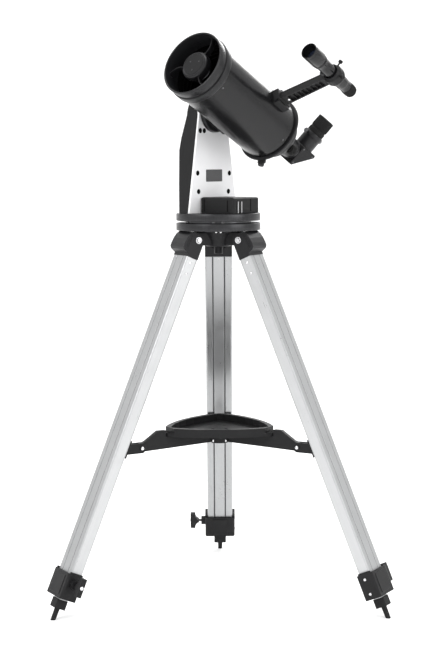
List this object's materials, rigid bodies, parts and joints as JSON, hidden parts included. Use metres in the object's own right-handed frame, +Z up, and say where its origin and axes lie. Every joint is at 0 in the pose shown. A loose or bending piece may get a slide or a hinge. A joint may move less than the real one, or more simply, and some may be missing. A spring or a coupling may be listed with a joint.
{
  "type": "telescope",
  "caption": "Short closed-back reflector tube on a single-arm computerised alt-azimuth mount, standing on an extending aluminium tripod with a spreader and accessory tray.",
  "frame": {"origin": "on the floor, under the azimuth axis", "axes": "+Z up along the azimuth axis; +Y towards the foot of leg 1; the object stands on its feet"},
  "size_m": [0.6728, 0.6091, 1.1115],
  "materials": {
    "black_plastic": "fine satin texture",
    "charcoal_paint": "semi-gloss paint",
    "white_plastic": "smooth satin",
    "brushed_aluminium": "satin extrusion",
    "dark_satin_metal": "satin coating",
    "plated_steel": "bright plated",
    "brass": "machined",
    "black_rubber": "matt",
    "coated_glass": "polished",
    "circuit_board": "printed board"
  },
  "bodies": {
    "tripod_root": {"tripod_head": "black_plastic", "lower_disc": "dark_satin_metal", "azimuth_bearing": "plated_steel", "leg_1_bolt": "plated_steel", "leg_2_bolt": "plated_steel", "leg_3_bolt": "plated_steel"},
    "leg_1": {"leg_1_cap": "black_plastic", "leg_1_tube": "brushed_aluminium", "leg_1_clamp": "black_plastic", "leg_1_bracket": "black_plastic"},
    "lower_leg_1_body": {"lower_leg_1": "brushed_aluminium", "foot_1": "black_rubber"},
    "clamp_knob_1": {"leg_1_clamp_knob": "black_plastic"},
    "spreader_arm_1_body": {"spreader_arm_1": "black_plastic"},
    "leg_2": {"leg_2_cap": "black_plastic", "leg_2_tube": "brushed_aluminium", "leg_2_clamp": "black_plastic", "leg_2_bracket": "black_plastic"},
    "lower_leg_2_body": {"lower_leg_2": "brushed_aluminium", "foot_2": "black_rubber"},
    "clamp_knob_2": {"leg_2_clamp_knob": "black_plastic"},
    "spreader_arm_2_body": {"spreader_arm_2": "black_plastic"},
    "leg_3": {"leg_3_cap": "black_plastic", "leg_3_tube": "brushed_aluminium", "leg_3_clamp": "black_plastic", "leg_3_bracket": "black_plastic"},
    "lower_leg_3_body": {"lower_leg_3": "brushed_aluminium", "foot_3": "black_rubber"},
    "clamp_knob_3": {"leg_3_clamp_knob": "black_plastic"},
    "spreader_arm_3_body": {"spreader_arm_3": "black_plastic"},
    "spreader": {"spreader_hub": "black_plastic"},
    "tray": {"accessory_tray": "black_plastic"},
    "mount": {"azimuth_plate": "dark_satin_metal", "base_box": "black_plastic", "azimuth_motor": "plated_steel", "arm_core": "black_plastic", "arm_front_cover": "white_plastic", "arm_back_cover": "white_plastic", "altitude_motor": "plated_steel", "control_board": "circuit_board"},
    "telescope": {"altitude_gear": "brass", "altitude_hub": "black_plastic", "saddle_clamp": "black_plastic", "dovetail_bar": "dark_satin_metal", "optical_tube": "charcoal_paint", "front_ring": "charcoal_paint", "spider": "black_plastic", "secondary_mirror": "coated_glass", "baffle_tube": "black_plastic", "rear_cell": "black_plastic", "visual_back": "black_plastic", "finder_shoe": "black_plastic", "finder_bracket": "black_plastic"},
    "focuser": {"focus_knob": "black_rubber"},
    "primary": {"primary_mirror": "coated_glass"},
    "diagonal": {"diagonal_body": "black_plastic", "diagonal_mirror": "coated_glass"},
    "eyepiece_body": {"eyepiece": "black_plastic"},
    "finder": {"finder_tube": "charcoal_paint"},
    "finder_focus": {"finder_eyepiece": "black_rubber"}
  },
  "joints": [
    {"name": "leg_1_fold", "type": "hinge", "parent": "tripod_root", "child": "leg_1", "pos_m": [0, 0.06, 0.719], "axis": [-1, 0, 0], "range_deg": [0, 17.5]},
    {"name": "lower_leg_1_slide", "type": "slide", "parent": "leg_1", "child": "lower_leg_1_body", "axis": [0, 0.3971, -0.9178], "range_m": [0, 0.35]},
    {"name": "clamp_knob_1_turn", "type": "hinge", "parent": "leg_1", "child": "clamp_knob_1", "pos_m": [-0.05, 0.33996, 0.07204], "axis": [-1, 0, 0], "range_deg": [-360, 0]},
    {"name": "spreader_arm_1_swing", "type": "hinge", "parent": "spreader", "child": "spreader_arm_1_body", "pos_m": [0, 0.018, 0.3195], "axis": [-1, 0, 0], "range_deg": [0, 76.5]},
    {"name": "leg_2_fold", "type": "hinge", "parent": "tripod_root", "child": "leg_2", "pos_m": [-0.05196, -0.03, 0.719], "axis": [0.5, -0.866, 0], "range_deg": [0, 17.5]},
    {"name": "lower_leg_2_slide", "type": "slide", "parent": "leg_2", "child": "lower_leg_2_body", "axis": [-0.3439, -0.1986, -0.9178], "range_m": [0, 0.35]},
    {"name": "clamp_knob_2_turn", "type": "hinge", "parent": "leg_2", "child": "clamp_knob_2", "pos_m": [-0.26942, -0.21328, 0.07204], "axis": [0.5, -0.866, 0], "range_deg": [-360, 0]},
    {"name": "spreader_arm_2_swing", "type": "hinge", "parent": "spreader", "child": "spreader_arm_2_body", "pos_m": [-0.01559, -0.009, 0.3195], "axis": [0.5, -0.866, 0], "range_deg": [0, 76.5]},
    {"name": "leg_3_fold", "type": "hinge", "parent": "tripod_root", "child": "leg_3", "pos_m": [0.05196, -0.03, 0.719], "axis": [0.5, 0.866, 0], "range_deg": [0, 17.5]},
    {"name": "lower_leg_3_slide", "type": "slide", "parent": "leg_3", "child": "lower_leg_3_body", "axis": [0.3439, -0.1986, -0.9178], "range_m": [0, 0.35]},
    {"name": "clamp_knob_3_turn", "type": "hinge", "parent": "leg_3", "child": "clamp_knob_3", "pos_m": [0.31942, -0.12668, 0.07204], "axis": [0.5, 0.866, 0], "range_deg": [-360, 0]},
    {"name": "spreader_arm_3_swing", "type": "hinge", "parent": "spreader", "child": "spreader_arm_3_body", "pos_m": [0.01559, -0.009, 0.3195], "axis": [0.5, 0.866, 0], "range_deg": [0, 76.5]},
    {"name": "spreader_lift", "type": "slide", "parent": "tripod_root", "child": "spreader", "axis": [0, 0, 1], "range_m": [0, 0.1378]},
    {"name": "tray_lift_off", "type": "slide", "parent": "tripod_root", "child": "tray", "axis": [0, -0.9397, 0.342], "range_m": [0, 0.452]},
    {"name": "azimuth", "type": "hinge", "parent": "tripod_root", "child": "mount", "pos_m": [0, 0, 0.75], "axis": [0, 0, 1], "continuous": true},
    {"name": "altitude", "type": "hinge", "parent": "mount", "child": "telescope", "pos_m": [0, 0, 0.97], "axis": [-0.7771, 0.6293, 0], "range_deg": [-32, 35]},
    {"name": "focus_turn", "type": "hinge", "parent": "telescope", "child": "focuser", "pos_m": [0.14418, 0.00776, 0.89559], "axis": [-0.5607, -0.6924, 0.454], "range_deg": [-1080, 1080]},
    {"name": "mirror_focus", "type": "slide", "parent": "telescope", "child": "primary", "axis": [-0.5607, -0.6924, 0.454], "range_m": [-0.0038, 0.0038]},
    {"name": "diagonal_turn", "type": "hinge", "parent": "telescope", "child": "diagonal", "pos_m": [0.14162, 0.0573, 0.9019], "axis": [-0.5607, -0.6924, 0.454], "range_deg": [-95, 60]},
    {"name": "eyepiece_out", "type": "slide", "parent": "diagonal", "child": "eyepiece_body", "axis": [0.6559, -0.0368, 0.754], "range_m": [0, 0.06]},
    {"name": "finder_align", "type": "hinge", "parent": "telescope", "child": "finder", "pos_m": [0.22056, -0.11684, 1.03337], "axis": [0.8255, -0.4253, 0.3709], "range_deg": [-1.5, 1.5]},
    {"name": "finder_eyepiece_turn", "type": "hinge", "parent": "finder", "child": "finder_focus", "pos_m": [0.22056, -0.11684, 1.03337], "axis": [-0.5607, -0.6924, 0.454], "range_deg": [-180, 180]}
  ],
  "couplings": [
    {"joint": "spreader_arm_1_swing", "follows": "leg_1_fold", "ratio": 4.355},
    {"joint": "leg_2_fold", "follows": "leg_1_fold", "ratio": 1},
    {"joint": "spreader_arm_2_swing", "follows": "leg_1_fold", "ratio": 4.355},
    {"joint": "leg_3_fold", "follows": "leg_1_fold", "ratio": 1},
    {"joint": "spreader_arm_3_swing", "follows": "leg_1_fold", "ratio": 4.355},
    {"joint": "spreader_lift", "follows": "leg_1_fold", "m_per_rad": 0.449},
    {"joint": "tray_lift_off", "follows": "leg_1_fold", "m_per_rad": 1.475},
    {"joint": "focus_turn", "follows": "mirror_focus", "rad_per_m": 4960}
  ]
}
